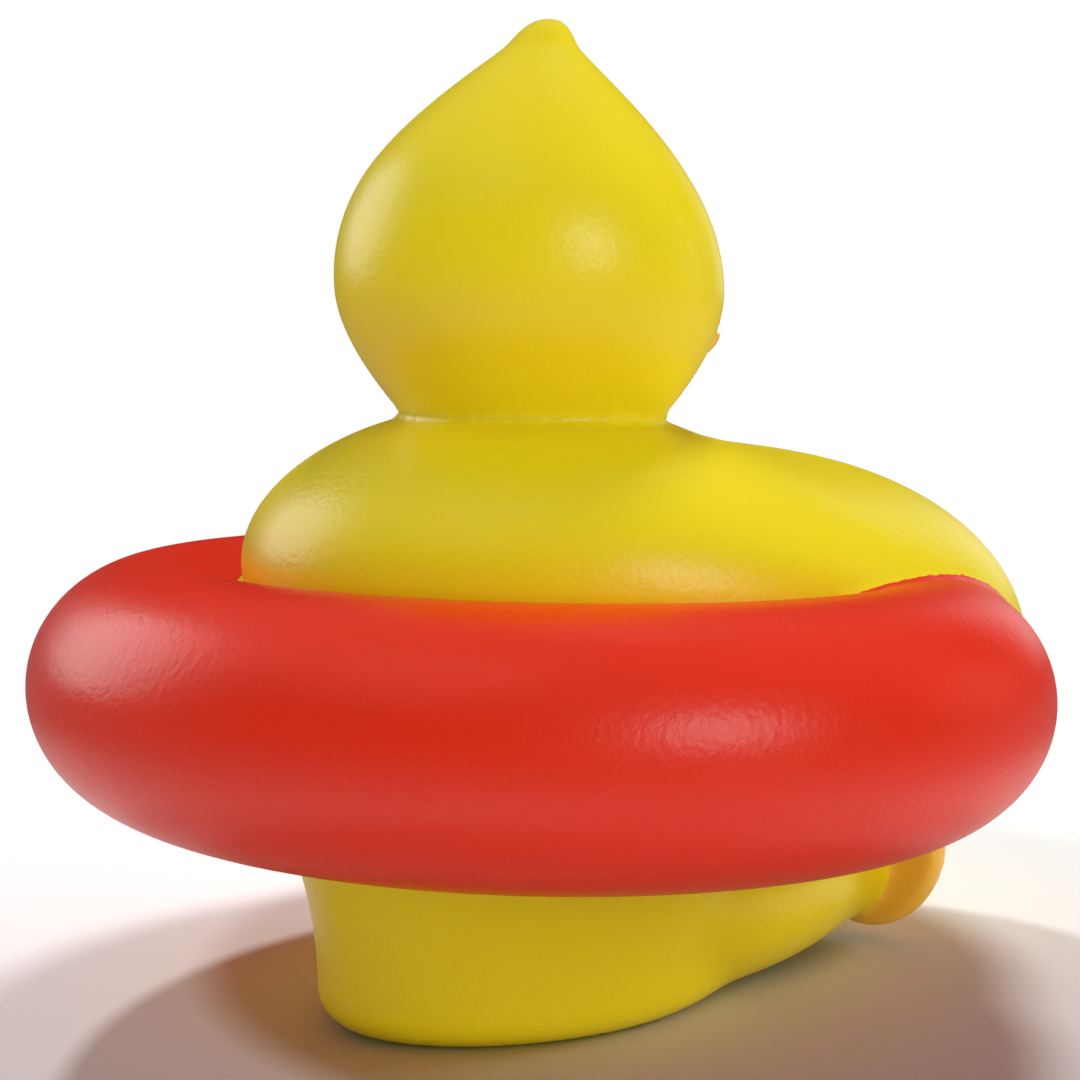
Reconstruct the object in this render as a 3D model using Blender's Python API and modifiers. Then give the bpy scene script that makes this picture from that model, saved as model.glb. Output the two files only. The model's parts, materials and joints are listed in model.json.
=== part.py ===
"""A bath duck moulded in one piece with its swim ring.

Metres, +Z up. The duck sits on the plane Z = 0 and looks towards -Y.
Heights are measured from that plane, and forward distances from the ring's axis towards -Y.
"""

import math

import bmesh
import bpy
from mathutils import Vector
from mathutils.geometry import interpolate_bezier

# Swim ring, a tube that leans a little towards the breast
RING_RADIUS = 0.0350
RING_HALF_WIDTH = 0.0121
RING_HALF_HEIGHT = 0.0113
RING_HEIGHT = 0.0295
RING_PITCH = math.radians(1.75)

# Upper body, an egg that lies along Y with its nose down, set into the ring
BODY_FORWARD = 0.0147
BODY_HALF_LENGTH = 0.0426
BODY_INSET = 0.0016
BODY_RISE = 0.0059
BODY_NOSE_DROP = 0.0056
BODY_CROWN = 0.0170
BREAST_CROWN = 0.0256
RUMP_CROWN = 0.0182
BODY_SHOULDER = 0.0011
BODY_KEEL = 0.0158

# Lower body, a round tub with a flat base, whose top lies inside the upper body and the ring
TUB_TAIL_LENGTH = 0.0242
TUB_FRONT_LENGTH = 0.0232
TUB_HALF_WIDTH = 0.0170
TUB_TAIL_ROUNDNESS = 1.82
TUB_TOP_RISE = 0.0056
TUB_FLARE = 0.0100
TUB_EDGE_RADIUS = 0.0030

# Legs, tubes that swell out of the tub to the thigh and narrow to the ankle
HIP_FORWARD = -0.0020
HIP_SIDE = 0.0050
HIP_RADIUS = 0.0070
THIGH_LENGTH = 0.0130
THIGH_SPREAD = 0.0056
THIGH_RADIUS = 0.0089
THIGH_LIFT = 0.0002
SHANK_LENGTH = 0.0220
SHANK_TOE_IN = 0.0016
ANKLE_RADIUS = 0.0071
ANKLE_LIFT = 0.0019

# Feet, upright webbed plates in front of the ankles and just under the ring
FOOT_SPLAY = 0.0031
FOOT_LIFT = 0.0015
FOOT_RING_GAP = 0.0011
FOOT_HEEL_HALF_WIDTH = 0.0080
FOOT_TOE_HALF_WIDTH = 0.0123
FOOT_THICKNESS = 0.0026
FOOT_EDGE_RADIUS = 0.0006
TOE_COUNT = 3
TOE_SCALLOP = 0.0009

# Head, turned about Z and then bent along its height
NECK_FORWARD = -0.0010
NECK_RADIUS = 0.0117
NECK_RISE = 0.0015
NECK_DEPTH = 0.0080
SKULL_SETBACK = 0.0011
SKULL_RISE = 0.0240
HEAD_RADIUS = 0.0178
JAW_HEIGHT = 0.0121
CROWN_HEIGHT = 0.0213
TUFT_RADIUS = 0.0037
TUFT_HEIGHT = 0.0030
TUFT_LEAN = 0.0030

# Beak, a flattened ball half sunk in the face
BEAK_RISE = 0.0082
BEAK_REACH = 0.0060
BEAK_DEPTH = 0.0160
BEAK_HALF_WIDTH = 0.0062
BEAK_HALF_HEIGHT = 0.0040

# Places that follow from the sizes
BODY_HALF_WIDTH = RING_RADIUS - BODY_INSET
BODY_HEIGHT = RING_HEIGHT + BODY_RISE
TUB_TOP = RING_HEIGHT + TUB_TOP_RISE
THIGH_FORWARD = HIP_FORWARD + THIGH_LENGTH
THIGH_SIDE = HIP_SIDE + THIGH_SPREAD
THIGH_HEIGHT = THIGH_RADIUS + THIGH_LIFT
ANKLE_FORWARD = THIGH_FORWARD + SHANK_LENGTH
ANKLE_SIDE = THIGH_SIDE - SHANK_TOE_IN
ANKLE_HEIGHT = ANKLE_RADIUS + ANKLE_LIFT
FOOT_SIDE = ANKLE_SIDE + FOOT_SPLAY
RING_UNDERSIDE = RING_HEIGHT - RING_HALF_HEIGHT - RING_RADIUS * math.sin(RING_PITCH)
FOOT_LENGTH = RING_UNDERSIDE - FOOT_RING_GAP - FOOT_LIFT
NECK_HEIGHT = BODY_HEIGHT + BODY_CROWN + NECK_RISE
HEAD_HEIGHT = NECK_HEIGHT + JAW_HEIGHT
TUFT_BASE_HEIGHT = HEAD_HEIGHT + CROWN_HEIGHT
TUFT_TOP = TUFT_BASE_HEIGHT + TUFT_HEIGHT
HEAD_FORWARD = NECK_FORWARD - SKULL_SETBACK
BEAK_HEIGHT = NECK_HEIGHT + BEAK_RISE

# Facets of the turned and round forms
RING_FACETS = 60
TUBE_FACETS = 18
ROUND_FACETS = 32

WELD = 0.00001
YELLOW = (0.80, 0.62, 0.03, 1.0)


def clear_scene():
    for scene_object in list(bpy.data.objects):
        bpy.data.objects.remove(scene_object, do_unlink=True)


def collection(name, hidden=False):
    made = bpy.data.collections.new(name)
    bpy.context.scene.collection.children.link(made)
    made.hide_render = hidden
    return made


def vinyl(name, colour):
    material = bpy.data.materials.new(name)
    material.use_nodes = True
    shader = material.node_tree.nodes["Principled BSDF"]
    shader.inputs["Base Color"].default_value = colour
    shader.inputs["Roughness"].default_value = 0.38
    shader.inputs["Metallic"].default_value = 0.0
    return material


def object_of(name, shape, home):
    """Turns a bmesh into an object in the collection."""
    mesh = bpy.data.meshes.new(name)
    shape.to_mesh(mesh)
    shape.free()
    return mesh_object(name, mesh, home)


def ball(segments, rings):
    """A unit sphere whose poles lie on Y."""
    shape = bmesh.new()
    bmesh.ops.create_uvsphere(shape, u_segments=segments, v_segments=rings, radius=1.0)
    for vertex in shape.verts:
        x, y, z = vertex.co
        vertex.co = Vector((x, -z, y))
    return shape


def turned(name, outline, home, steps, closed=False):
    """Turns an outline about Z with a Screw modifier."""
    mesh = bpy.data.meshes.new(name)
    count = len(outline)
    edges = [(i, (i + 1) % count) for i in range(count if closed else count - 1)]
    mesh.from_pydata(outline, edges, [])
    made = mesh_object(name, mesh, home)
    screw = made.modifiers.new("turn", "SCREW")
    screw.steps = steps
    screw.render_steps = steps
    screw.use_merge_vertices = True
    screw.merge_threshold = WELD
    return made


def mesh_object(name, mesh, home):
    made = bpy.data.objects.new(name, mesh)
    home.objects.link(made)
    return made


def between(start, end, share):
    return start + (end - start) * share


def evaluated_mesh(made):
    """The mesh of an object with its modifiers, which replaces the object."""
    graph = bpy.context.evaluated_depsgraph_get()
    mesh = bpy.data.meshes.new_from_object(made.evaluated_get(graph))
    bpy.data.objects.remove(made)
    return mesh


def ring(home):
    """The swim ring: an ellipse turned about the ring's own axis."""
    outline = []
    for step in range(TUBE_FACETS):
        angle = -2.0 * math.pi * step / TUBE_FACETS
        across = RING_RADIUS + RING_HALF_WIDTH * math.cos(angle)
        outline.append(Vector((across, 0.0, RING_HALF_HEIGHT * math.sin(angle))))
    made = turned("ring_form", outline, home, RING_FACETS, closed=True)
    made.location.z = RING_HEIGHT
    made.rotation_euler.x = RING_PITCH
    return made


def body(home):
    """The egg: its centre line drops towards the breast."""
    shape = ball(36, 24)
    for vertex in shape.verts:
        side, back, up = vertex.co
        ahead = -back
        end_crown = BREAST_CROWN if ahead > 0.0 else RUMP_CROWN
        shoulder = BODY_SHOULDER * math.sin(math.pi * ahead) ** 2
        crown = between(BODY_CROWN, end_crown, ahead * ahead) + shoulder
        height = crown if up > 0.0 else BODY_KEEL
        centre = BODY_HEIGHT - BODY_NOSE_DROP * math.sin(0.5 * math.pi * ahead)
        vertex.co = Vector((
            BODY_HALF_WIDTH * side,
            -BODY_FORWARD - BODY_HALF_LENGTH * ahead,
            centre + height * up,
        ))
    return object_of("duck", shape, home)


def tub_outline():
    """Half of the tub's section: a wall that flares upwards, a rounded edge and a flat base."""
    outline = [Vector((0.0, 0.0, TUB_TOP))]
    wall_steps, edge_steps = 6, 4
    for step in range(wall_steps + 1):
        rise = 1.0 - step / wall_steps
        height = TUB_EDGE_RADIUS + (TUB_TOP - TUB_EDGE_RADIUS) * rise
        outline.append(Vector((TUB_HALF_WIDTH + TUB_FLARE * rise * rise, 0.0, height)))
    for step in range(1, edge_steps + 1):
        angle = 0.5 * math.pi * step / edge_steps
        across = TUB_HALF_WIDTH - TUB_EDGE_RADIUS * (1.0 - math.cos(angle))
        outline.append(Vector((across, 0.0, TUB_EDGE_RADIUS * (1.0 - math.sin(angle)))))
    return outline + [Vector((0.0, 0.0, 0.0))]


def tub(home):
    """The lower body: a turned tub, drawn out to a blunt tail behind and to a round front."""
    mesh = evaluated_mesh(turned("tub_form", tub_outline(), home, ROUND_FACETS))
    power = TUB_TAIL_ROUNDNESS
    for vertex in mesh.vertices:
        x, y, z = vertex.co
        radius = math.hypot(x, y)
        if y <= 0.0 or radius == 0.0:
            vertex.co.y = y * TUB_FRONT_LENGTH / TUB_HALF_WIDTH
            continue
        pinch = (abs(x / radius) ** power + abs(y / radius) ** power) ** (-1.0 / power)
        vertex.co = (x * pinch, y * pinch * TUB_TAIL_LENGTH / TUB_HALF_WIDTH, z)
    return mesh_object("tub_form", mesh, home)


def curve_object(name, curve, home):
    """Turns a curve into a closed mesh object."""
    guide = bpy.data.objects.new(name, curve)
    home.objects.link(guide)
    shape = bmesh.new()
    shape.from_mesh(evaluated_mesh(guide))
    bmesh.ops.remove_doubles(shape, verts=shape.verts, dist=WELD)
    bmesh.ops.recalc_face_normals(shape, faces=shape.faces)
    return object_of(name, shape, home)


def leg(home, side):
    """One leg: a bevelled curve from hip to ankle, on the side given as 1 or -1."""
    curve = bpy.data.curves.new("leg", "CURVE")
    curve.dimensions = "3D"
    curve.bevel_depth = 1.0
    curve.bevel_resolution = 3
    curve.use_fill_caps = True
    stations = [
        (HIP_SIDE, HIP_FORWARD, THIGH_HEIGHT, HIP_RADIUS),
        (THIGH_SIDE, THIGH_FORWARD, THIGH_HEIGHT, THIGH_RADIUS),
        (ANKLE_SIDE, ANKLE_FORWARD, ANKLE_HEIGHT, ANKLE_RADIUS),
    ]
    spline = curve.splines.new("POLY")
    spline.points.add(len(stations) - 1)
    for point, (across, forward, height, radius) in zip(spline.points, stations):
        point.co = (side * across, -forward, height, 1.0)
        point.radius = radius
    return curve_object("leg_form", curve, home)


def foot_outline(side):
    """The webbed outline seen from the front: a round heel below, slanting sides and toes above."""
    points = []
    steps = 36
    for step in range(steps):
        angle = 2.0 * math.pi * step / steps
        rise = 0.5 * (1.0 - math.cos(angle))
        half_width = between(FOOT_HEEL_HALF_WIDTH, FOOT_TOE_HALF_WIDTH, rise * rise)
        across = half_width * math.sin(angle)
        toe_phase = math.pi * TOE_COUNT * across / FOOT_TOE_HALF_WIDTH
        scallop = 0.5 * TOE_SCALLOP * (1.0 - math.cos(toe_phase)) * max(0.0, 2.0 * rise - 1.0)
        points.append((side * FOOT_SIDE + across, FOOT_LIFT + FOOT_LENGTH * rise - scallop))
    return points


def foot(home, side):
    """One foot: the outline as a flat 2D curve, stood upright in front of the ankle."""
    curve = bpy.data.curves.new("foot", "CURVE")
    curve.dimensions = "2D"
    curve.fill_mode = "BOTH"
    curve.extrude = 0.5 * FOOT_THICKNESS - FOOT_EDGE_RADIUS
    curve.bevel_depth = FOOT_EDGE_RADIUS
    curve.bevel_resolution = 0
    curve.offset = -FOOT_EDGE_RADIUS
    outline = foot_outline(side)
    spline = curve.splines.new("POLY")
    spline.points.add(len(outline) - 1)
    for point, (across, height) in zip(spline.points, outline):
        point.co = (across, height, 0.0, 1.0)
    spline.use_cyclic_u = True
    made = curve_object("foot_form", curve, home)
    made.rotation_euler.x = 0.5 * math.pi
    made.location.y = -ANKLE_FORWARD - 0.5 * FOOT_THICKNESS
    return made


def head_outline():
    """Half of the head's section, from the tuft down to the foot of the neck."""
    tip = Vector((0.0, 0.0, TUFT_TOP))
    tuft = Vector((TUFT_RADIUS, 0.0, TUFT_BASE_HEIGHT))
    cheek = Vector((HEAD_RADIUS, 0.0, HEAD_HEIGHT))
    neck = Vector((NECK_RADIUS, 0.0, NECK_HEIGHT))
    outward = Vector((1.0, 0.0, 0.0))
    down = Vector((0.0, 0.0, -1.0))
    tuft_slope = Vector((0.75, 0.0, -0.66))
    neck_slope = Vector((-0.66, 0.0, -0.75))
    cap = interpolate_bezier(
        tip, tip + 0.6 * TUFT_RADIUS * outward, tuft - 0.35 * TUFT_RADIUS * tuft_slope, tuft, 6
    )
    crown = interpolate_bezier(
        tuft, tuft + 0.39 * CROWN_HEIGHT * tuft_slope, cheek - 0.455 * CROWN_HEIGHT * down, cheek, 12
    )
    jaw = interpolate_bezier(
        cheek, cheek + 0.36 * JAW_HEIGHT * down, neck - 0.33 * JAW_HEIGHT * neck_slope, neck, 9
    )
    foot_height = NECK_HEIGHT - NECK_DEPTH
    return cap + crown[1:] + jaw[1:] + [
        Vector((NECK_RADIUS, 0.0, foot_height)),
        Vector((0.0, 0.0, foot_height)),
    ]


def head_axis(height):
    """How far forward the head's axis lies at a height: the skull sits back and the tuft leans ahead."""
    skull = min(max((height - NECK_HEIGHT) / SKULL_RISE, 0.0), 1.0)
    lean_start = between(HEAD_HEIGHT, TUFT_TOP, 0.33)
    tuft = max(0.0, height - lean_start) / (TUFT_TOP - lean_start)
    smooth = skull * skull * (3.0 - 2.0 * skull)
    return between(NECK_FORWARD, HEAD_FORWARD, smooth) + TUFT_LEAN * tuft * tuft


def head(home):
    """The onion-shaped head, turned and then bent to its axis."""
    mesh = evaluated_mesh(turned("head_form", head_outline(), home, ROUND_FACETS))
    for vertex in mesh.vertices:
        vertex.co.y -= head_axis(vertex.co.z)
    return mesh_object("head_form", mesh, home)


def beak(home):
    """The beak: a flattened ball that reaches out of the face."""
    shape = ball(24, 14)
    half_depth = 0.5 * BEAK_DEPTH
    centre = head_axis(BEAK_HEIGHT) + HEAD_RADIUS + BEAK_REACH - half_depth
    for vertex in shape.verts:
        side, back, up = vertex.co
        vertex.co = Vector((
            BEAK_HALF_WIDTH * side,
            -centre + half_depth * back,
            BEAK_HEIGHT + BEAK_HALF_HEIGHT * up,
        ))
    return object_of("beak_form", shape, home)


def join(base, forms):
    """Unites the other forms with the base by Boolean modifiers."""
    for form in forms:
        form.hide_render = True
        form.display_type = "WIRE"
        union = base.modifiers.new(f"join {form.name}", "BOOLEAN")
        union.operation = "UNION"
        union.object = form


def main():
    clear_scene()
    parts = collection("rubber_duck")
    forms = collection("forms", hidden=True)
    duck = body(parts)
    others = [ring(forms), tub(forms), head(forms), beak(forms)]
    for side in (-1.0, 1.0):
        others += [leg(forms, side), foot(forms, side)]
    join(duck, others)
    duck.data.materials.append(vinyl("vinyl", YELLOW))
    duck.data.shade_smooth()


main()
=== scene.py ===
"""A bath duck moulded in one piece with its swim ring, dressed in sprayed soft vinyl.

Metres, +Z up. The duck sits on the plane Z = 0 and looks towards -Y, with its right side at -X.
Every form is modelled by itself, then all of them are fused into one skin, and the skin is painted.
"""

import json
import logging
import math
from dataclasses import dataclass, field
from enum import Enum
from typing import Sequence

import bmesh
import bpy
import numpy as np
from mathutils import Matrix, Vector
from mathutils.bvhtree import BVHTree
from mathutils.geometry import interpolate_bezier

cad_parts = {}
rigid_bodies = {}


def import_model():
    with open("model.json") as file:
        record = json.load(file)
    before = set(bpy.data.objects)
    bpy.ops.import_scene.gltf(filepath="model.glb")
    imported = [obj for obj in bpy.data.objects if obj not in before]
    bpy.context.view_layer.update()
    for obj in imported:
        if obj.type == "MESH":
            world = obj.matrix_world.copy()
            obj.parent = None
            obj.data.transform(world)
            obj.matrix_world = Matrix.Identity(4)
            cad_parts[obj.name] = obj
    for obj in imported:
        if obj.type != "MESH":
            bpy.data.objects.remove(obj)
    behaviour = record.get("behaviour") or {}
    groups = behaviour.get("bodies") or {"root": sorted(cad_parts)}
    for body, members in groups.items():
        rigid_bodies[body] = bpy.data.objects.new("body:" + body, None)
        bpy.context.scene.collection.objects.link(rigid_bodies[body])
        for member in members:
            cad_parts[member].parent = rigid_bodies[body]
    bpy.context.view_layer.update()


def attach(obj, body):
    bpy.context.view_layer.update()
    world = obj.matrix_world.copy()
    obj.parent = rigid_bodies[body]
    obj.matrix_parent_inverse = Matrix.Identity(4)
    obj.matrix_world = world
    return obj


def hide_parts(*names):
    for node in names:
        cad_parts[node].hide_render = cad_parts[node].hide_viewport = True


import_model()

logging.basicConfig(level=logging.INFO, format="%(message)s")
log = logging.getLogger("rubber_duck")


class Paint(Enum):
    """The vinyl's own colour and the colours sprayed on it, in linear light."""

    YELLOW = (0.88, 0.71, 0.006, 1.0)
    RED = (0.79, 0.026, 0.004, 1.0)
    ORANGE = (0.97, 0.55, 0.05, 1.0)
    BLACK = (0.012, 0.011, 0.010, 1.0)


class Side(Enum):
    """The duck's two sides, as signs of X."""

    RIGHT = -1.0
    LEFT = 1.0


def between(start: float, end: float, share: float) -> float:
    """Returns the value that lies at a share of the way from start to end."""
    return start + (end - start) * share


def smooth_step(share: float) -> float:
    """Returns an eased share, held between 0 and 1."""
    share = min(max(share, 0.0), 1.0)
    return share * share * (3.0 - 2.0 * share)


def select_only(*objects: bpy.types.Object) -> None:
    """Selects the given objects alone and makes the first one active.

    Args:
        objects: what the next operator acts on.
    """
    for other in bpy.context.view_layer.objects:
        other.select_set(False)
    for wanted in objects:
        wanted.select_set(True)
    bpy.context.view_layer.objects.active = objects[0] if objects else None


def apply_modifier(made: bpy.types.Object, kind: str, **settings: object) -> None:
    """Adds one modifier to an object and applies it.

    Args:
        made: the object.
        kind: the modifier's type, such as SMOOTH.
        settings: the modifier's own values by name.
    """
    select_only(made)
    modifier = made.modifiers.new(kind.lower(), kind)
    for name, value in settings.items():
        setattr(modifier, name, value)
    bpy.ops.object.modifier_apply(modifier=modifier.name)


@dataclass(frozen=True)
class Station:
    """One ring of a lofted form: where its centre lies and how far it spreads."""

    centre: Vector
    spread: Vector
    lift: float = 1.0


def loft(name: str, plan: Sequence[Vector], stations: Sequence[Station]) -> bpy.types.Object:
    """Extrudes a capped ring through its stations and resizes it at each.

    Args:
        name: the new object's name.
        plan: the ring's points for a spread of 1 about the origin.
        stations: the rings in order. A station's lift stretches the ring above its centre.

    Returns:
        A closed mesh object whose faces point out.
    """
    select_only()
    bpy.ops.mesh.primitive_circle_add(vertices=len(plan), radius=1.0, fill_type="NGON")
    made = bpy.context.object
    made.name = name
    first = stations[0]
    for vertex, place in zip(made.data.vertices, plan):
        offset = Vector(a * b for a, b in zip(place, first.spread))
        if place.z > 0.0:
            offset.z *= first.lift
        vertex.co = first.centre + offset
    bpy.ops.object.mode_set(mode="EDIT")
    bpy.ops.mesh.select_all(action="SELECT")
    for last, new in zip(stations, stations[1:]):
        bpy.ops.mesh.extrude_region_move(
            TRANSFORM_OT_translate={"value": tuple(new.centre - last.centre)}
        )
        growth = [b / a if a else 1.0 for a, b in zip(last.spread, new.spread)]
        bpy.ops.transform.resize(value=growth, center_override=tuple(new.centre))
        if new.lift != last.lift:
            stretch_upper_half(made, new.centre, new.lift / last.lift)
    bpy.ops.mesh.select_all(action="SELECT")
    bpy.ops.mesh.normals_make_consistent(inside=False)
    bpy.ops.object.mode_set(mode="OBJECT")
    return made


def stretch_upper_half(made: bpy.types.Object, centre: Vector, factor: float) -> None:
    """Stretches the upper half of the selected ring away from its centre.

    Args:
        made: the object in edit mode.
        centre: the ring's centre.
        factor: how far the upper half grows along Z.
    """
    shape = bmesh.from_edit_mesh(made.data)
    ring = [vertex for vertex in shape.verts if vertex.select]
    for vertex in ring:
        if vertex.co.z > centre.z:
            vertex.co.z = centre.z + (vertex.co.z - centre.z) * factor
    bmesh.update_edit_mesh(made.data)


def curve_body(name: str, curve: bpy.types.Curve) -> bpy.types.Object:
    """Turns a curve into a closed mesh object with its caps welded.

    Args:
        name: the new object's name.
        curve: the curve's data.

    Returns:
        The mesh object, at the curve's own place.
    """
    made = bpy.data.objects.new(name, curve)
    bpy.context.scene.collection.objects.link(made)
    select_only(made)
    bpy.ops.object.convert(target="MESH")
    made = bpy.context.object
    bpy.ops.object.mode_set(mode="EDIT")
    bpy.ops.mesh.select_all(action="SELECT")
    bpy.ops.mesh.remove_doubles(threshold=0.00001)
    bpy.ops.mesh.normals_make_consistent(inside=False)
    bpy.ops.object.mode_set(mode="OBJECT")
    return made


@dataclass
class SwimRing:
    """The swim ring: a tube with an oval section that leans a little towards the breast."""

    radius: float = 0.0350
    half_width: float = 0.0121
    half_height: float = 0.0113
    height: float = 0.0295
    pitch: float = math.radians(1.75)
    valley_depth: float = 0.0011
    valley_start: float = 0.0005
    valley_end: float = 0.0026
    around: int = 220
    across: int = 72

    def valley(self, inward: float) -> float:
        """Returns how deep the top falls towards the body, by the way in from the centre circle."""
        share = (inward - self.valley_start) / (self.valley_end - self.valley_start)
        return self.valley_depth * smooth_step(share)

    def build(self) -> bpy.types.Object:
        """Returns the ring as a torus squeezed to its section, leant and lifted."""
        select_only()
        bpy.ops.mesh.primitive_torus_add(
            major_radius=self.radius,
            minor_radius=self.half_width,
            major_segments=self.around,
            minor_segments=self.across,
        )
        made = bpy.context.object
        made.name = "ring_form"
        bpy.ops.object.mode_set(mode="EDIT")
        bpy.ops.mesh.select_all(action="SELECT")
        bpy.ops.transform.resize(
            value=(1.0, 1.0, self.half_height / self.half_width), center_override=(0.0, 0.0, 0.0)
        )
        bpy.ops.object.mode_set(mode="OBJECT")
        for vertex in made.data.vertices:
            if vertex.co.z > 0.0:
                vertex.co.z -= self.valley(self.radius - vertex.co.xy.length)
        made.rotation_euler.x = self.pitch
        made.location.z = self.height
        bpy.ops.object.transform_apply(location=True, rotation=True, scale=True)
        return made


@dataclass
class UpperBody:
    """The upper body: an egg along Y that swells into the breast and drops its nose."""

    ring: SwimRing
    forward: float = 0.0147
    half_length: float = 0.0426
    inset: float = 0.0016
    rise: float = 0.0059
    nose_drop: float = 0.0056
    crown: float = 0.0170
    breast_crown: float = 0.0256
    rump_crown: float = 0.0182
    shoulder: float = 0.0011
    keel: float = 0.0158
    pole_gap: float = 0.02
    around: int = 144
    steps: int = 72

    @property
    def height(self) -> float:
        """The height of the egg's centre above the floor."""
        return self.ring.height + self.rise

    def station(self, turn: float) -> Station:
        """Returns the section at an angle from the rump, 0, to the breast, pi."""
        ahead = -math.cos(turn)
        swell = math.sin(turn)
        end_crown = self.breast_crown if ahead > 0.0 else self.rump_crown
        shoulder = self.shoulder * math.sin(math.pi * ahead) ** 2
        crown = between(self.crown, end_crown, ahead * ahead) + shoulder
        drop = self.nose_drop * math.sin(0.5 * math.pi * ahead)
        centre = Vector((0.0, -self.forward - self.half_length * ahead, self.height - drop))
        width = self.ring.radius - self.inset
        return Station(centre, Vector((width * swell, 0.0, self.keel * swell)), crown / self.keel)

    def build(self) -> bpy.types.Object:
        """Returns the egg, lofted from the rump to the breast."""
        turns = np.linspace(self.pole_gap, math.pi - self.pole_gap, self.steps)
        angles = np.linspace(0.0, 2.0 * math.pi, self.around, endpoint=False)
        plan = [Vector((math.cos(angle), 0.0, math.sin(angle))) for angle in angles]
        return loft("body_form", plan, [self.station(float(turn)) for turn in turns])


@dataclass
class Tub:
    """The lower body: a tub with a flat base, drawn out to a blunt tail."""

    ring: SwimRing
    tail_length: float = 0.0242
    front_length: float = 0.0232
    half_width: float = 0.0170
    tail_roundness: float = 1.82
    top_rise: float = 0.0056
    flare: float = 0.0100
    edge_radius: float = 0.0030
    edge_steps: int = 8
    wall_steps: int = 24
    around: int = 144

    def plan(self) -> list[Vector]:
        """Returns the base's outline for a half width of 1."""
        points = []
        for step in range(self.around):
            angle = 2.0 * math.pi * step / self.around
            x, y = math.cos(angle), math.sin(angle)
            if y <= 0.0:
                points.append(Vector((x, y * self.front_length / self.half_width, 0.0)))
                continue
            power = self.tail_roundness
            pinch = (abs(x) ** power + abs(y) ** power) ** (-1.0 / power)
            points.append(Vector((x * pinch, y * pinch * self.tail_length / self.half_width, 0.0)))
        return points

    def build(self) -> bpy.types.Object:
        """Returns the tub, lofted from its base to its top inside the upper body."""
        section = []
        for step in range(self.edge_steps + 1):
            angle = 0.5 * math.pi * step / self.edge_steps
            across = self.half_width - self.edge_radius * (1.0 - math.sin(angle))
            section.append((across, self.edge_radius * (1.0 - math.cos(angle))))
        top = self.ring.height + self.top_rise
        for step in range(1, self.wall_steps + 1):
            rise = step / self.wall_steps
            across = self.half_width + self.flare * rise * rise
            section.append((across, between(self.edge_radius, top, rise)))
        stations = [
            Station(Vector((0.0, 0.0, height)), Vector((across, across, 0.0)))
            for across, height in section
        ]
        return loft("tub_form", self.plan(), stations)


@dataclass
class Leg:
    """A leg that swells out of the tub to its thigh and narrows to its ankle."""

    side: Side
    hip_forward: float = -0.0020
    hip_side: float = 0.0050
    hip_radius: float = 0.0070
    thigh_length: float = 0.0130
    thigh_spread: float = 0.0056
    thigh_radius: float = 0.0089
    thigh_lift: float = 0.0002
    shank_length: float = 0.0220
    shank_toe_in: float = 0.0016
    ankle_radius: float = 0.0071
    ankle_lift: float = 0.0019

    @property
    def ankle_forward(self) -> float:
        """How far the ankle lies ahead of the ring's axis."""
        return self.hip_forward + self.thigh_length + self.shank_length

    @property
    def ankle_side(self) -> float:
        """How far the ankle lies from the mid-plane."""
        return self.hip_side + self.thigh_spread - self.shank_toe_in

    def build(self) -> bpy.types.Object:
        """Returns the leg as a bevelled curve made a mesh."""
        thigh_height = self.thigh_radius + self.thigh_lift
        thigh_forward = self.hip_forward + self.thigh_length
        thigh_side = self.hip_side + self.thigh_spread
        ankle_height = self.ankle_radius + self.ankle_lift
        stations = [
            (self.hip_side, self.hip_forward, thigh_height, self.hip_radius),
            (thigh_side, thigh_forward, thigh_height, self.thigh_radius),
            (self.ankle_side, self.ankle_forward, ankle_height, self.ankle_radius),
        ]
        curve = bpy.data.curves.new("leg_form", "CURVE")
        curve.dimensions = "3D"
        curve.bevel_depth = 1.0
        curve.bevel_resolution = 14
        curve.use_fill_caps = True
        curve.resolution_u = 16
        spline = curve.splines.new("BEZIER")
        spline.bezier_points.add(len(stations) - 1)
        for point, (across, forward, height, radius) in zip(spline.bezier_points, stations):
            point.co = (self.side.value * across, -forward, height)
            point.radius = radius
            point.handle_left_type = point.handle_right_type = "AUTO"
        return curve_body("leg_form", curve)


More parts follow.
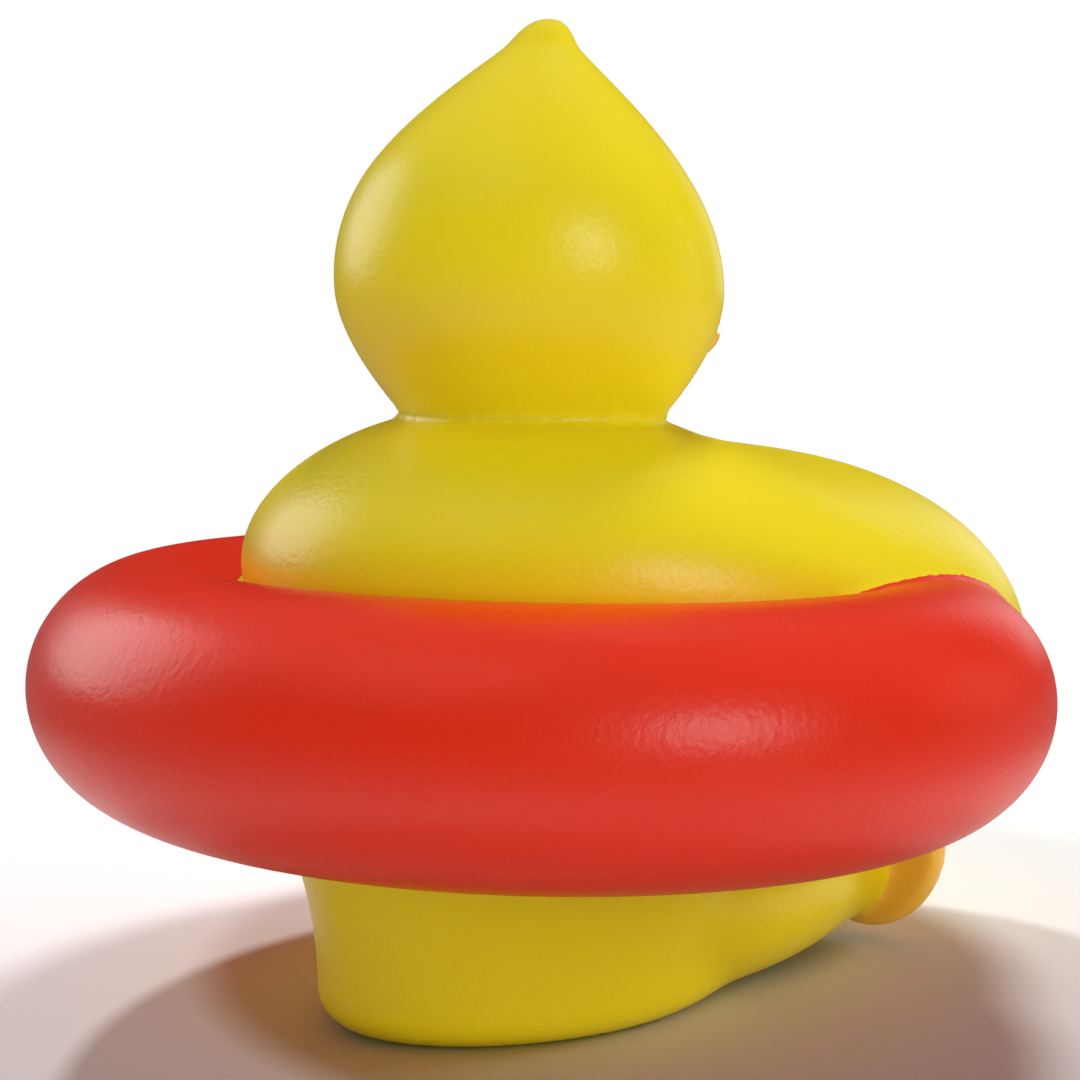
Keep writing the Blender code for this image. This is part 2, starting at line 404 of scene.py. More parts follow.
@dataclass
class Foot:
    """An upright webbed plate in front of the ankle, just under the ring."""

    side: Side
    leg: Leg
    ring: SwimRing
    splay: float = 0.0031
    lift: float = 0.0015
    ring_gap: float = 0.0011
    heel_half_width: float = 0.0080
    toe_half_width: float = 0.0123
    thickness: float = 0.0026
    edge_radius: float = 0.0008
    toe_count: int = 3
    scallop: float = 0.0012
    outline_steps: int = 120

    def outline(self) -> list[tuple[float, float]]:
        """Returns the webbed outline seen from the front: a round heel below and toes above."""
        ring = self.ring
        underside = ring.height - ring.half_height - ring.radius * math.sin(ring.pitch)
        length = underside - self.ring_gap - self.lift
        centre = self.side.value * (self.leg.ankle_side + self.splay)
        points = []
        for step in range(self.outline_steps):
            angle = 2.0 * math.pi * step / self.outline_steps
            rise = 0.5 * (1.0 - math.cos(angle))
            half_width = between(self.heel_half_width, self.toe_half_width, rise * rise)
            across = half_width * math.sin(angle)
            phase = math.pi * self.toe_count * across / self.toe_half_width
            dent = 0.5 * self.scallop * (1.0 - math.cos(phase)) * max(0.0, 2.0 * rise - 1.0)
            points.append((centre + across, self.lift + length * rise - dent))
        return points

    def build(self) -> bpy.types.Object:
        """Returns the plate: a flat outline with rounded edges, stood up at the ankle."""
        curve = bpy.data.curves.new("foot_form", "CURVE")
        curve.dimensions = "2D"
        curve.fill_mode = "BOTH"
        curve.extrude = 0.5 * self.thickness - self.edge_radius
        curve.bevel_depth = self.edge_radius
        curve.bevel_resolution = 4
        curve.offset = -self.edge_radius
        outline = self.outline()
        spline = curve.splines.new("POLY")
        spline.points.add(len(outline) - 1)
        for point, (across, height) in zip(spline.points, outline):
            point.co = (across, height, 0.0, 1.0)
        spline.use_cyclic_u = True
        made = curve_body("foot_form", curve)
        made.rotation_euler.x = 0.5 * math.pi
        made.location.y = -self.leg.ankle_forward - 0.5 * self.thickness
        select_only(made)
        bpy.ops.object.transform_apply(location=True, rotation=True, scale=True)
        return made


@dataclass
class Head:
    """The onion-shaped head: its skull sits back, and its tuft leans ahead."""

    body: UpperBody
    neck_forward: float = -0.0010
    neck_radius: float = 0.0117
    neck_rise: float = 0.0015
    neck_depth: float = 0.0080
    collar_reach: float = 0.0036
    collar_drop: float = 0.0014
    skull_setback: float = 0.0011
    skull_rise: float = 0.0240
    radius: float = 0.0178
    jaw_height: float = 0.0121
    crown_height: float = 0.0213
    tuft_radius: float = 0.0037
    tuft_height: float = 0.0030
    tuft_lean: float = 0.0030
    lean_start: float = 0.33
    tuft_slope: tuple[float, float, float] = (0.75, 0.0, -0.66)
    neck_slope: tuple[float, float, float] = (-0.66, 0.0, -0.75)
    cap_pull: tuple[float, float] = (0.6, 0.35)
    crown_pull: tuple[float, float] = (0.39, 0.455)
    jaw_pull: tuple[float, float] = (0.36, 0.33)
    around: int = 120

    @property
    def neck_height(self) -> float:
        """The height of the crease between head and body."""
        return self.body.height + self.body.crown + self.neck_rise

    @property
    def cheek_height(self) -> float:
        """The height at which the head is widest."""
        return self.neck_height + self.jaw_height

    def outline(self) -> list[Vector]:
        """Returns half of the head's section, from the tuft to the neck's root in the body.

        Each pull is the length of a curve's two handles, as shares of that stretch's size.
        """
        tuft_base = self.cheek_height + self.crown_height
        tip = Vector((0.0, 0.0, tuft_base + self.tuft_height))
        tuft = Vector((self.tuft_radius, 0.0, tuft_base))
        cheek = Vector((self.radius, 0.0, self.cheek_height))
        neck = Vector((self.neck_radius, 0.0, self.neck_height))
        outward = Vector((1.0, 0.0, 0.0))
        down = Vector((0.0, 0.0, -1.0))
        tuft_slope = Vector(self.tuft_slope)
        neck_slope = Vector(self.neck_slope)
        cap = interpolate_bezier(
            tip,
            tip + self.cap_pull[0] * self.tuft_radius * outward,
            tuft - self.cap_pull[1] * self.tuft_radius * tuft_slope,
            tuft,
            16,
        )
        crown = interpolate_bezier(
            tuft,
            tuft + self.crown_pull[0] * self.crown_height * tuft_slope,
            cheek - self.crown_pull[1] * self.crown_height * down,
            cheek,
            40,
        )
        jaw = interpolate_bezier(
            cheek,
            cheek + self.jaw_pull[0] * self.jaw_height * down,
            neck - self.jaw_pull[1] * self.jaw_height * neck_slope,
            neck,
            28,
        )
        collar = neck + Vector((self.collar_reach, 0.0, -self.collar_drop))
        root = Vector((collar.x, 0.0, self.neck_height - self.neck_depth))
        return cap[1:] + crown[1:] + jaw[1:] + [collar, root]

    def axis(self, height: float) -> float:
        """Returns how far forward the head's axis lies at a height."""
        skull = smooth_step((height - self.neck_height) / self.skull_rise)
        top = self.cheek_height + self.crown_height + self.tuft_height
        start = between(self.cheek_height, top, self.lean_start)
        tuft = max(0.0, height - start) / (top - start)
        return self.neck_forward - self.skull_setback * skull + self.tuft_lean * tuft * tuft

    def build(self) -> bpy.types.Object:
        """Returns the head, lofted from the tuft down."""
        angles = np.linspace(0.0, 2.0 * math.pi, self.around, endpoint=False)
        plan = [Vector((math.cos(angle), math.sin(angle), 0.0)) for angle in angles]
        stations = [
            Station(Vector((0.0, -self.axis(point.z), point.z)), Vector((point.x, point.x, 0.0)))
            for point in self.outline()
        ]
        return loft("head_form", plan, stations)


@dataclass
class Beak:
    """A short beak, half sunk in the face, with a groove where it closes."""

    head: Head
    rise: float = 0.0082
    reach: float = 0.0060
    depth: float = 0.0160
    half_width: float = 0.0062
    half_height: float = 0.0040
    groove: float = 0.0007
    groove_band: float = 0.08

    @property
    def height(self) -> float:
        """The height of the groove."""
        return self.head.neck_height + self.rise

    def build(self) -> bpy.types.Object:
        """Returns the beak as a flattened ball with its mid-line drawn in."""
        half_depth = 0.5 * self.depth
        reach = self.head.axis(self.height) + self.head.radius + self.reach
        centre = (0.0, -reach + half_depth, self.height)
        select_only()
        bpy.ops.mesh.primitive_uv_sphere_add(segments=96, ring_count=65, radius=1.0)
        made = bpy.context.object
        made.name = "beak_form"
        bpy.ops.object.mode_set(mode="EDIT")
        bpy.ops.mesh.select_all(action="SELECT")
        size = (self.half_width, half_depth, self.half_height)
        bpy.ops.transform.resize(value=size, center_override=(0.0, 0.0, 0.0))
        shape = bmesh.from_edit_mesh(made.data)
        for vertex in shape.verts:
            vertex.select = abs(vertex.co.z) < self.groove_band * self.half_height
        shape.select_flush_mode()
        bmesh.update_edit_mesh(made.data)
        inward = 1.0 - self.groove / self.half_width
        bpy.ops.transform.resize(value=(inward, inward, 1.0), center_override=(0.0, 0.0, 0.0))
        bpy.ops.mesh.select_all(action="SELECT")
        bpy.ops.transform.translate(value=centre)
        bpy.ops.object.mode_set(mode="OBJECT")
        return made


class Effects:
    """Shader node groups that the finishes share."""

    def __init__(self) -> None:
        """Builds each group once."""
        self.grain = self._grain()
        self.sprayed_edge = self._sprayed_edge()

    @staticmethod
    def _new(name: str, inputs: dict[str, float], output: str) -> bpy.types.ShaderNodeTree:
        """Returns a group with a Vector input, number inputs and one output, all linked later.

        Args:
            name: the group's name.
            inputs: each number input with its default.
            output: the name of the one number that comes out.
        """
        tree = bpy.data.node_groups.new(name, "ShaderNodeTree")
        tree.interface.new_socket("Vector", in_out="INPUT", socket_type="NodeSocketVector")
        for label, value in inputs.items():
            socket = tree.interface.new_socket(label, in_out="INPUT", socket_type="NodeSocketFloat")
            socket.default_value = value
        tree.interface.new_socket(output, in_out="OUTPUT", socket_type="NodeSocketFloat")
        return tree

    def _grain(self) -> bpy.types.ShaderNodeTree:
        """Returns the fine wrinkle of moulded vinyl as a height around 0."""
        tree = self._new("moulded_grain", {"Fineness": 900.0, "Wrinkle": 0.5}, "Height")
        nodes = Nodes(tree)
        inside = tree.nodes.new("NodeGroupInput").outputs
        out = tree.nodes.new("NodeGroupOutput")
        pebble = nodes.noise(inside["Vector"], inside["Fineness"], detail=2.0)
        broad = nodes.maths("MULTIPLY", inside["Fineness"], 0.32)
        crease = nodes.noise(inside["Vector"], broad, detail=3.0, distortion=1.2)
        mixed = nodes.maths("MULTIPLY", nodes.maths("SUBTRACT", crease, 0.5), inside["Wrinkle"])
        total = nodes.maths("ADD", mixed, nodes.maths("SUBTRACT", pebble, 0.5))
        tree.links.new(total, out.inputs["Height"])
        return tree

    def _sprayed_edge(self) -> bpy.types.ShaderNodeTree:
        """Returns a mask that turns on where a field passes 0, along a ragged line."""
        tree = self._new(
            "sprayed_edge",
            {"Field": 0.0, "Wander": 0.3, "Scale": 900.0, "Softness": 0.05},
            "Mask",
        )
        nodes = Nodes(tree)
        inside = tree.nodes.new("NodeGroupInput").outputs
        out = tree.nodes.new("NodeGroupOutput")
        noise = nodes.noise(inside["Vector"], inside["Scale"], detail=3.0)
        shake = nodes.maths("MULTIPLY", nodes.maths("SUBTRACT", noise, 0.5), inside["Wander"])
        above = nodes.maths("ADD", inside["Field"], shake)
        share = nodes.maths("DIVIDE", above, inside["Softness"])
        mask = nodes.maths("ADD", share, 0.5)
        mask.node.use_clamp = True
        tree.links.new(mask, out.inputs["Mask"])
        return tree


@dataclass
class Nodes:
    """A small helper that adds linked nodes to a tree."""

    tree: bpy.types.NodeTree

    def plug(self, socket: bpy.types.NodeSocket, value: object) -> None:
        """Links a socket to another, or sets its value."""
        if isinstance(value, bpy.types.NodeSocket):
            self.tree.links.new(value, socket)
        else:
            socket.default_value = value

    def maths(self, operation: str, first: object, second: object = 0.0) -> bpy.types.NodeSocket:
        """Returns the result of a Math node with two inputs."""
        node = self.tree.nodes.new("ShaderNodeMath")
        node.operation = operation
        self.plug(node.inputs[0], first)
        self.plug(node.inputs[1], second)
        return node.outputs[0]

    def noise(
        self, vector: object, scale: object, detail: float = 2.0, distortion: float = 0.0
    ) -> bpy.types.NodeSocket:
        """Returns a noise between 0 and 1.

        Args:
            vector: where it is read.
            scale: how fine it is, in cells per metre.
            detail: its octaves.
            distortion: how far it is warped.
        """
        node = self.tree.nodes.new("ShaderNodeTexNoise")
        self.plug(node.inputs["Vector"], vector)
        self.plug(node.inputs["Scale"], scale)
        node.inputs["Detail"].default_value = detail
        node.inputs["Distortion"].default_value = distortion
        return node.outputs["Fac"]

    def group(self, tree: bpy.types.ShaderNodeTree, **values: object) -> bpy.types.NodeSocket:
        """Places a node group with its values and returns its first output."""
        node = self.tree.nodes.new("ShaderNodeGroup")
        node.node_tree = tree
        for name, value in values.items():
            self.plug(node.inputs[name], value)
        return node.outputs[0]

    def attribute(self, name: str) -> bpy.types.NodeSocket:
        """Returns a number stored on the mesh's points."""
        node = self.tree.nodes.new("ShaderNodeAttribute")
        node.attribute_name = name
        return node.outputs["Fac"]

    def mix(self, share: object, first: object, second: object) -> bpy.types.NodeSocket:
        """Returns a colour between two, by a share."""
        node = self.tree.nodes.new("ShaderNodeMix")
        node.data_type = "RGBA"
        self.plug(node.inputs["Factor"], share)
        self.plug(node.inputs["A"], first)
        self.plug(node.inputs["B"], second)
        return node.outputs["Result"]

    def ramp(self, share: object, low: float, high: float) -> bpy.types.NodeSocket:
        """Returns a number between low and high, for a share from 0 to 1."""
        node = self.tree.nodes.new("ShaderNodeMapRange")
        self.plug(node.inputs["Value"], share)
        node.inputs["To Min"].default_value = low
        node.inputs["To Max"].default_value = high
        return node.outputs["Result"]

    def span(
        self, value: object, start: float, end: float, low: float = 0.0, high: float = 1.0
    ) -> bpy.types.NodeSocket:
        """Returns a number that eases from low to high while a value goes from start to end."""
        result = self.ramp(value, low, high)
        result.node.interpolation_type = "SMOOTHSTEP"
        result.node.inputs["From Min"].default_value = start
        result.node.inputs["From Max"].default_value = end
        return result

    def choose(self, switch: object, first: object, second: object) -> bpy.types.NodeSocket:
        """Returns the first number where a switch is 0 and the second where it is 1."""
        node = self.tree.nodes.new("ShaderNodeMix")
        self.plug(node.inputs["Factor"], switch)
        self.plug(node.inputs["A"], first)
        self.plug(node.inputs["B"], second)
        return node.outputs["Result"]

    def along(self, axis: Vector) -> bpy.types.NodeSocket:
        """Returns how far the world's own direction points along an axis."""
        place = self.tree.nodes.new("ShaderNodeTexCoord").outputs["Generated"]
        node = self.tree.nodes.new("ShaderNodeVectorMath")
        node.operation = "DOT_PRODUCT"
        self.tree.links.new(place, node.inputs[0])
        node.inputs[1].default_value = axis
        return node.outputs["Value"]


@dataclass(frozen=True)
class SprayedVinyl:
    """Soft yellow vinyl with a red ring, orange feet and beak, and black eyes sprayed on it."""

    roughness: float = 0.34
    unevenness: float = 0.04
    glow: float = 0.08
    glow_depth: float = 0.0015
    glow_spread: tuple[float, float, float] = (1.0, 0.45, 0.12)
    grain_height: float = 0.00004
    grain_fineness: float = 1700.0
    wrinkle: float = 0.9
    cloud_fineness: float = 45.0
    speck_fineness: float = 2600.0
    speck_share: float = 0.2
    edge_softness: float = 0.06
    tint: float = 0.06

    def material(self, effects: Effects) -> bpy.types.Material:
        """Returns the vinyl, which reads the paint fields stored on the skin."""
        material = bpy.data.materials.new("sprayed_vinyl")
        material.use_nodes = True
        tree = material.node_tree
        nodes = Nodes(tree)
        shader = tree.nodes["Principled BSDF"]
        place = tree.nodes.new("ShaderNodeTexCoord").outputs["Object"]
        cloud = nodes.noise(place, self.cloud_fineness, detail=3.0)
        speck = nodes.noise(place, self.speck_fineness, detail=1.0)
        red = self._mask(nodes, effects, place, "ring_field", wander=0.45)
        orange = self._mask(nodes, effects, place, "orange_field", wander=0.20)
        black = self._mask(nodes, effects, place, "eye_field", wander=0.06)
        yellow = self._varied(nodes, Paint.YELLOW, cloud)
        colour = nodes.mix(red, yellow, self._varied(nodes, Paint.RED, cloud))
        colour = nodes.mix(orange, colour, self._varied(nodes, Paint.ORANGE, cloud))
        colour = nodes.mix(black, colour, Paint.BLACK.value)
        tree.links.new(colour, shader.inputs["Base Color"])
        broad = nodes.maths("MULTIPLY", cloud, 1.0 - self.speck_share)
        smudge = nodes.maths("ADD", broad, nodes.maths("MULTIPLY", speck, self.speck_share))
        low, high = self.roughness - self.unevenness, self.roughness + self.unevenness
        tree.links.new(nodes.ramp(smudge, low, high), shader.inputs["Roughness"])
        height = nodes.group(
            effects.grain, Vector=place, Fineness=self.grain_fineness, Wrinkle=self.wrinkle
        )
        bump = tree.nodes.new("ShaderNodeBump")
        bump.inputs["Strength"].default_value = 1.0
        bump.inputs["Distance"].default_value = self.grain_height
        tree.links.new(height, bump.inputs["Height"])
        tree.links.new(bump.outputs["Normal"], shader.inputs["Normal"])
        shader.inputs["Subsurface Weight"].default_value = self.glow
        shader.inputs["Subsurface Radius"].default_value = self.glow_spread
        shader.inputs["Subsurface Scale"].default_value = self.glow_depth
        return material

    def _varied(self, nodes: Nodes, paint: Paint, cloud: bpy.types.NodeSocket) -> bpy.types.NodeSocket:
        """Returns a paint whose shade drifts softly over the skin."""
        red, green, blue, alpha = paint.value
        deep = (red * (1.0 - 0.5 * self.tint), green * (1.0 - self.tint), blue, alpha)
        return nodes.mix(cloud, deep, paint.value)

    def _mask(
        self,
        nodes: Nodes,
        effects: Effects,
        place: bpy.types.NodeSocket,
        name: str,
        wander: float,
    ) -> bpy.types.NodeSocket:
        """Returns where one paint lies: where its field, in millimetres, is above 0.

        Args:
            nodes: the material's nodes.
            effects: the shared groups.
            place: Object coordinates.
            name: the field stored on the skin.
            wander: how ragged the edge is, in millimetres.
        """
        return nodes.group(
            effects.sprayed_edge,
            Vector=place,
            Field=nodes.attribute(name),
            Wander=wander,
            Softness=self.edge_softness,
        )


@dataclass(frozen=True)
class Seam:
    """A crease between two groups of forms, and how far and how often it is smoothed."""

    first: tuple[str, ...]
    second: tuple[str, ...]
    reach: float
    rounds: int


@dataclass
class Duck:
    """The whole moulding: its forms, the skin that joins them and the paint on it."""

    ring: SwimRing = field(default_factory=SwimRing)
    voxel: float = 0.00056
    triangle_limit: int = 190_000
    eye_height: float = 0.0040
    eye_turn: float = math.radians(33.0)
    eye_half_width: float = 0.0021
    eye_half_height: float = 0.0029
    bare_strip: float = 0.9
    overspray: float = 0.3
    border_stops: tuple[float, float, float] = (-0.9, 0.1, 0.5)
    orange_margin: float = 0.1
    base_press: float = 0.00012
    seams: tuple[Seam, ...] = (
        Seam(("body",), ("ring",), 0.0020, 4),
        Seam(("tub",), ("ring", "body"), 0.0035, 10),
        Seam(("head",), ("body",), 0.0012, 1),
        Seam(("head",), ("beak",), 0.0014, 3),
        Seam(("leg",), ("tub",), 0.0060, 45),
    )
    ripple_rounds: int = 2

    def __post_init__(self) -> None:
        """Sets the forms into each other."""
        self.body = UpperBody(self.ring)
        self.tub = Tub(self.ring)
        self.head = Head(self.body)
        self.beak = Beak(self.head)
        self.legs = [Leg(side) for side in Side]
        self.feet = [Foot(leg.side, leg, self.ring) for leg in self.legs]

    def build(self) -> bpy.types.Object:
        """Returns the painted skin as one closed mesh at the origin."""
        forms = {
            "ring": [self.ring.build()],
            "body": [self.body.build()],
            "tub": [self.tub.build()],
            "head": [self.head.build()],
            "leg": [leg.build() for leg in self.legs],
            "foot": [foot.build() for foot in self.feet],
            "beak": [self.beak.build()],
        }
        for name, group in forms.items():
            log.info("%s: %d form(s)", name, len(group))
        surfaces = {name: [surface_of(form) for form in group] for name, group in forms.items()}
        skin = self._fuse([form for group in forms.values() for form in group])
        self._soften(skin, surfaces)
        self._thin(skin)
        self._flatten_base(skin)
        self._paint(skin, surfaces)
        skin.data.shade_smooth()
        skin.name = "duck_skin"
        return skin

    def _fuse(self, forms: Sequence[bpy.types.Object]) -> bpy.types.Object:
        """Joins the forms and remeshes them into one even skin.

        Args:
            forms: closed mesh objects that reach into each other.

        Returns:
            The skin, one closed body.
        """
        select_only(*forms)
        bpy.ops.object.join()
        skin = bpy.context.object
        skin.data.remesh_voxel_size = self.voxel
        skin.data.remesh_voxel_adaptivity = 0.0
        bpy.ops.object.voxel_remesh()
        return skin

    def _soften(self, skin: bpy.types.Object, surfaces: dict[str, list[BVHTree]]) -> None:
        """Rounds each seam by its own measure, and takes the remesh's ripple off the rest.

        Args:
            skin: the remeshed skin.
            surfaces: the forms' surfaces by name.
        """
        points = [vertex.co for vertex in skin.data.vertices]
        distances = {name: nearest(group, points) for name, group in surfaces.items()}
        for seam in self.seams:
            first = np.min([distances[name] for name in seam.first], axis=0)
            second = np.min([distances[name] for name in seam.second], axis=0)
            weights = 1.0 - np.maximum(first, second) / (1000.0 * seam.reach)
            group = skin.vertex_groups.new(name="seam")
            for index in np.flatnonzero(weights > 0.0):
                group.add([int(index)], float(weights[index]), "REPLACE")
            apply_modifier(skin, "SMOOTH", factor=0.5, iterations=seam.rounds, vertex_group="seam")
            skin.vertex_groups.clear()
        apply_modifier(skin, "SMOOTH", factor=0.5, iterations=self.ripple_rounds)

    def _thin(self, skin: bpy.types.Object) -> None:
        """Takes triangles off the flattest stretches until the skin is under its limit."""
        triangles = sum(len(face.vertices) - 2 for face in skin.data.polygons)
        if triangles > self.triangle_limit:
            apply_modifier(skin, "DECIMATE", ratio=self.triangle_limit / triangles)

    def _flatten_base(self, skin: bpy.types.Object) -> None:
        """Presses the foot of the tub flat on the floor."""
        for vertex in skin.data.vertices:
            if vertex.co.z < self.base_press:
                vertex.co.z = 0.0

    def _paint(self, skin: bpy.types.Object, surfaces: dict[str, list[BVHTree]]) -> None:
        """Stores the paint fields, in millimetres, on the skin's points.

        Args:
            skin: the finished skin.
            surfaces: the forms' surfaces by name.
        """
        points = [vertex.co for vertex in skin.data.vertices]
        near = {name: nearest(group, points) for name, group in surfaces.items()}
        yellow = np.min([near[name] for name in ("body", "tub", "head", "leg")], axis=0)
        orange = np.minimum(near["foot"], near["beak"])
        ring_field = yellow - near["ring"] - self._border(points)
        orange_field = np.minimum(yellow, near["ring"]) - orange - self.orange_margin
        store(skin, "ring_field", ring_field)
        store(skin, "orange_field", orange_field)
        store(skin, "eye_field", self._eye_field(points))

    def _border(self, points: Sequence[Vector]) -> np.ndarray:
        """Returns how far the red stops short of the body, in millimetres, at each point.

        The mask lay a little to the duck's right, so a bare strip is left on its left side
        and the red runs up the body on its right side.

        Args:
            points: the skin's points.
        """
        aside = np.array([point.x / self.ring.radius for point in points])
        return np.interp(aside, self.border_stops, (-self.overspray, 0.0, self.bare_strip))

    def _eye_field(self, points: Sequence[Vector]) -> np.ndarray:
        """Returns how far inside an eye's oval each point lies, in millimetres."""
        places = np.array([tuple(point) for point in points])
        height = self.head.cheek_height + self.eye_height
        axis = np.array([self.head.axis(float(z)) for z in places[:, 2]])
        turn = np.arctan2(np.abs(places[:, 0]), -places[:, 1] - axis)
        across = (turn - self.eye_turn) * self.head.radius / self.eye_half_width
        upward = (places[:, 2] - height) / self.eye_half_height
        inside = (1.0 - np.hypot(across, upward)) * self.eye_half_width * 1000.0
        on_head = places[:, 2] > self.head.neck_height
        return np.where(on_head, inside, -10.0)

    def dress(self, skin: bpy.types.Object, material: bpy.types.Material) -> None:
        """Gives the skin its vinyl and sets it on the frame in the CAD solid's place."""
        skin.data.materials.clear()
        skin.data.materials.append(material)
        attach(skin, "root")
        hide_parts("duck")


def surface_of(form: bpy.types.Object) -> BVHTree:
    """Returns a search tree of a form's surface."""
    return BVHTree.FromPolygons(
        [vertex.co.copy() for vertex in form.data.vertices],
        [tuple(face.vertices) for face in form.data.polygons],
    )


def nearest(surfaces: Sequence[BVHTree], points: Sequence[Vector]) -> np.ndarray:
    """Returns each point's distance in millimetres to the nearest of some surfaces."""
    return np.array([
        1000.0 * min(surface.find_nearest(point)[3] for surface in surfaces) for point in points
    ])


def store(made: bpy.types.Object, name: str, values: np.ndarray) -> None:
    """Stores one number for each of the mesh's points."""
    layer = made.data.attributes.new(name, "FLOAT", "POINT")
    layer.data.foreach_set("value", values.astype(np.float32))


class Lit(Enum):
    """What a lamp shines on."""

    EVERYTHING = ""
    DUCK = "duck_skin"
    FLOOR = "floor"


@dataclass(frozen=True)
class Panel:
    """A soft lamp, placed by the photograph's own directions.

    A lamp without gloss leaves no highlight.
    """

    name: str
    right: float
    toward: float
    up: float
    size: float
    power: float
    lit: Lit = Lit.EVERYTHING
    gloss: bool = False


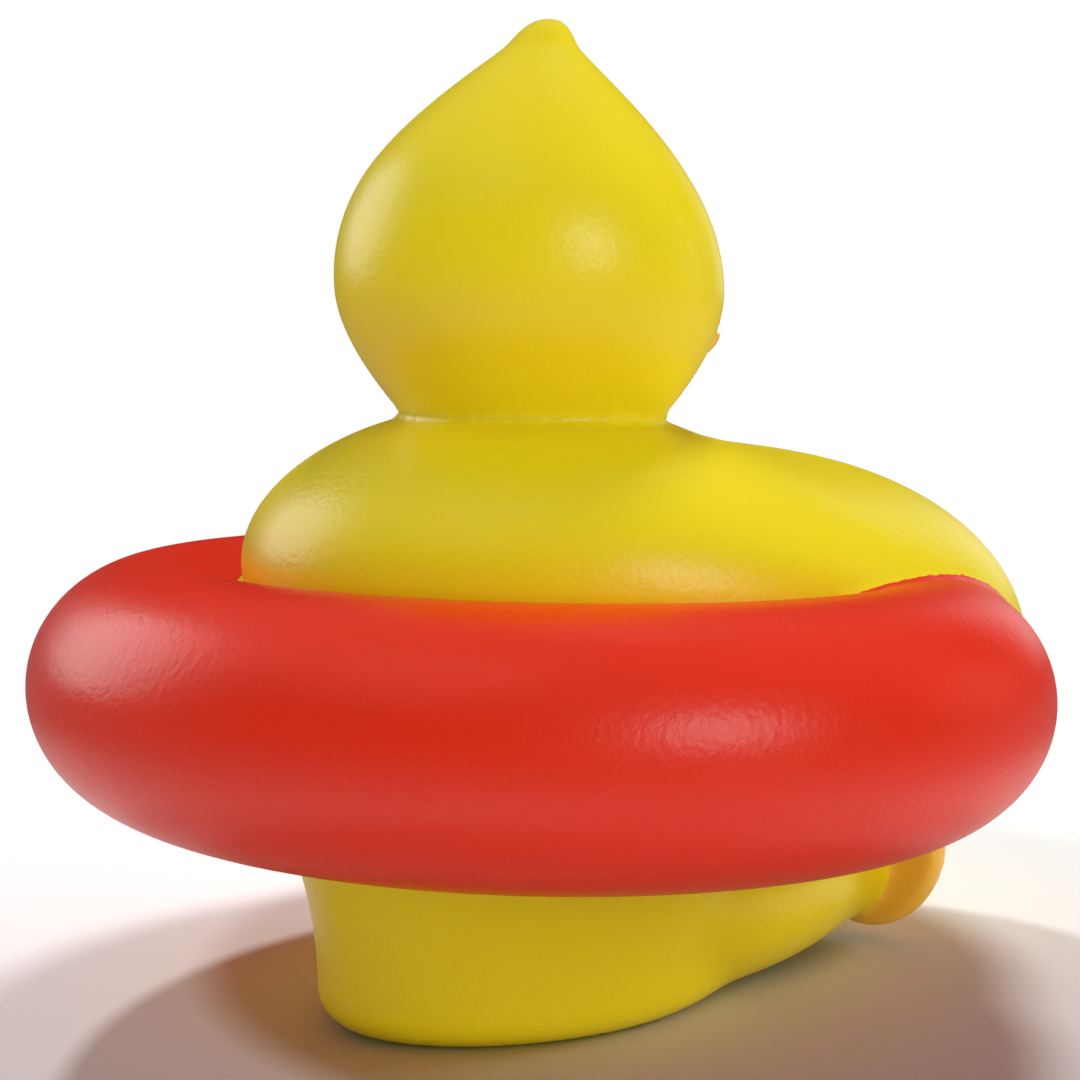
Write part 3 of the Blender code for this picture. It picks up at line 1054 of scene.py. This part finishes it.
@dataclass
class Studio:
    """The pale floor, the soft lamps, the white surround and the camera."""

    heading: float = math.radians(44.0)
    eye: Vector = field(default_factory=lambda: Vector((-0.1386, 0.1344, 0.0634)))
    target: Vector = field(default_factory=lambda: Vector((0.0001, 0.0001, 0.0426)))
    lens: float = 69.4
    floor_half: float = 3.0
    floor_tone: float = 0.86
    floor_roughness: float = 0.7
    floor_gloss: float = 0.15
    floor_fade: tuple[float, float] = (0.08, 0.20)
    # Painted shade: how dark the floor looks in the duck's reflections, and over what distance it
    # darkens.
    reflected_floor_shade: float = 0.15
    reflected_floor_shade_fade: tuple[float, float] = (0.04, 0.16)
    horizon: float = 0.22
    zenith: float = 0.08
    sky_rise: tuple[float, float] = (0.0, 0.7)
    reflected: float = 0.03
    overhead: float = 0.36
    overhead_rise: tuple[float, float] = (0.35, 0.90)
    rim: float = 1.8
    rim_across: tuple[float, float] = (0.28, 0.50)
    rim_behind: tuple[float, float] = (0.80, 0.90)
    rim_rise: tuple[float, float] = (0.50, 0.30)
    aim_height: float = 0.035
    panels: tuple[Panel, ...] = (
        Panel("hard_key", -0.18, -0.456, 0.60, 0.06, 2.6, Lit.FLOOR),
        Panel("left_key", -0.34, 0.22, 0.60, 0.12, 1.1, Lit.FLOOR),
        Panel("soft_key", 0.10, -0.26, 0.60, 0.17, 2.2),
        Panel("low_right", 0.50, -0.22, 0.16, 0.25, 1.0),
        Panel("front_fill", 0.20, 0.75, 0.16, 0.30, 1.5, Lit.DUCK),
        Panel("top_fill", -0.18, 0.21, 0.53, 0.40, 0.65, Lit.DUCK),
        Panel("left_window", -0.48, -0.24, 0.26, 0.42, 1.15, Lit.DUCK, gloss=True),
        Panel("right_window", 0.31, 0.40, 0.25, 0.22, 0.65, Lit.DUCK, gloss=True),
    )

    def place(self, right: float, toward: float, up: float) -> Vector:
        """Returns a point given to the right of the view, towards the camera and up."""
        across = Vector((-math.sin(self.heading), -math.cos(self.heading), 0.0))
        ahead = Vector((-math.cos(self.heading), math.sin(self.heading), 0.0))
        return across * right + ahead * toward + Vector((0.0, 0.0, up))

    def build(self) -> None:
        """Sets the stage round the duck."""
        self._floor()
        self._surround()
        for panel in self.panels:
            self._lamp(panel)
        self._camera()
        scene = bpy.context.scene
        scene.view_settings.view_transform = "Standard"

    def _floor(self) -> None:
        """Lays a pale floor that fades to plain white away from the duck; in the duck's reflections it
        is painted darker farther out, as painted shade.
        """
        select_only()
        bpy.ops.mesh.primitive_plane_add(size=2.0 * self.floor_half)
        floor = bpy.context.object
        floor.name = "floor"
        material = bpy.data.materials.new("pale_floor")
        material.use_nodes = True
        tree = material.node_tree
        nodes = Nodes(tree)
        shader = tree.nodes["Principled BSDF"]
        shader.inputs["Roughness"].default_value = self.floor_roughness
        shader.inputs["Specular IOR Level"].default_value = self.floor_gloss
        white = tree.nodes.new("ShaderNodeEmission")
        place = tree.nodes.new("ShaderNodeTexCoord").outputs["Object"]
        length = tree.nodes.new("ShaderNodeVectorMath")
        length.operation = "LENGTH"
        tree.links.new(place, length.inputs[0])
        path = tree.nodes.new("ShaderNodeLightPath").outputs
        away = length.outputs["Value"]
        tones = (self.floor_tone, self.reflected_floor_shade)
        # Painted shade: glossy rays see the floor go from its pale tone to a dark one away from the
        # duck.
        floor_shade_in_gloss = nodes.span(away, *self.reflected_floor_shade_fade, *tones)
        tone = nodes.choose(path["Is Glossy Ray"], self.floor_tone, floor_shade_in_gloss)
        tree.links.new(tone, shader.inputs["Base Color"])
        far = nodes.span(away, *self.floor_fade)
        mixed = tree.nodes.new("ShaderNodeMixShader")
        tree.links.new(nodes.maths("MULTIPLY", far, path["Is Camera Ray"]), mixed.inputs["Fac"])
        tree.links.new(shader.outputs["BSDF"], mixed.inputs[1])
        tree.links.new(white.outputs["Emission"], mixed.inputs[2])
        tree.links.new(mixed.outputs["Shader"], tree.nodes["Material Output"].inputs["Surface"])
        floor.data.materials.append(material)

    def _surround(self) -> None:
        """Makes the world soft light that the camera sees as plain white.

        The gloss sees it dark, with a light overhead and a bright band low behind the duck.
        """
        world = bpy.data.worlds.new("surround")
        bpy.context.scene.world = world
        world.use_nodes = True
        world.cycles.sampling_method = "NONE"
        tree = world.node_tree
        nodes = Nodes(tree)
        background = tree.nodes["Background"]
        background.inputs["Color"].default_value = (1.0, 1.0, 1.0, 1.0)
        path = tree.nodes.new("ShaderNodeLightPath").outputs
        rise = nodes.along(Vector((0.0, 0.0, 1.0)))
        across = nodes.along(self.place(1.0, 0.0, 0.0))
        behind = nodes.along(self.place(0.0, -1.0, 0.0))
        sky = nodes.span(rise, *self.sky_rise, self.horizon, self.zenith)
        beside = nodes.span(across, *self.rim_across)
        band = nodes.maths("MULTIPLY", beside, nodes.span(behind, *self.rim_behind))
        band = nodes.maths("MULTIPLY", band, nodes.span(rise, *self.rim_rise, 0.0, self.rim))
        overhead = nodes.span(rise, *self.overhead_rise, self.reflected, self.overhead)
        gloss = nodes.maths("ADD", band, overhead)
        light = nodes.choose(path["Is Glossy Ray"], sky, gloss)
        seen = nodes.maths("MAXIMUM", path["Is Camera Ray"], path["Is Transmission Ray"])
        tree.links.new(nodes.choose(seen, light, 1.0), background.inputs["Strength"])

    def _lamp(self, panel: Panel) -> None:
        """Hangs one panel and turns it to the duck."""
        light = bpy.data.lights.new(panel.name, "AREA")
        light.shape = "DISK"
        light.size = panel.size
        light.energy = panel.power
        lamp = bpy.data.objects.new(panel.name, light)
        lamp.visible_glossy = panel.gloss
        bpy.context.scene.collection.objects.link(lamp)
        if panel.lit is not Lit.EVERYTHING:
            lit = bpy.data.collections.new(f"lit_by_{panel.name}")
            lit.objects.link(bpy.data.objects[panel.lit.value])
            lamp.light_linking.receiver_collection = lit
        lamp.location = self.place(panel.right, panel.toward, panel.up)
        aim = self.place(0.0, 0.0, self.aim_height) - lamp.location
        lamp.rotation_euler = aim.to_track_quat("-Z", "Y").to_euler()

    def _camera(self) -> None:
        """Sets the camera at the photograph's place."""
        data = bpy.data.cameras.new("camera")
        data.sensor_width = 36.0
        data.lens = self.lens
        data.clip_start = 0.01
        camera = bpy.data.objects.new("camera", data)
        bpy.context.scene.collection.objects.link(camera)
        camera.location = self.eye
        camera.rotation_euler = (self.target - self.eye).to_track_quat("-Z", "Y").to_euler()
        bpy.context.scene.camera = camera


def main() -> None:
    """Builds the duck, dresses it and sets the stage."""
    effects = Effects()
    duck = Duck()
    skin = duck.build()
    duck.dress(skin, SprayedVinyl().material(effects))
    log.info("duck_skin: %d faces", len(skin.data.polygons))
    Studio().build()
    log.info("studio: floor, lamps and camera")


if __name__ == "__main__":
    main()
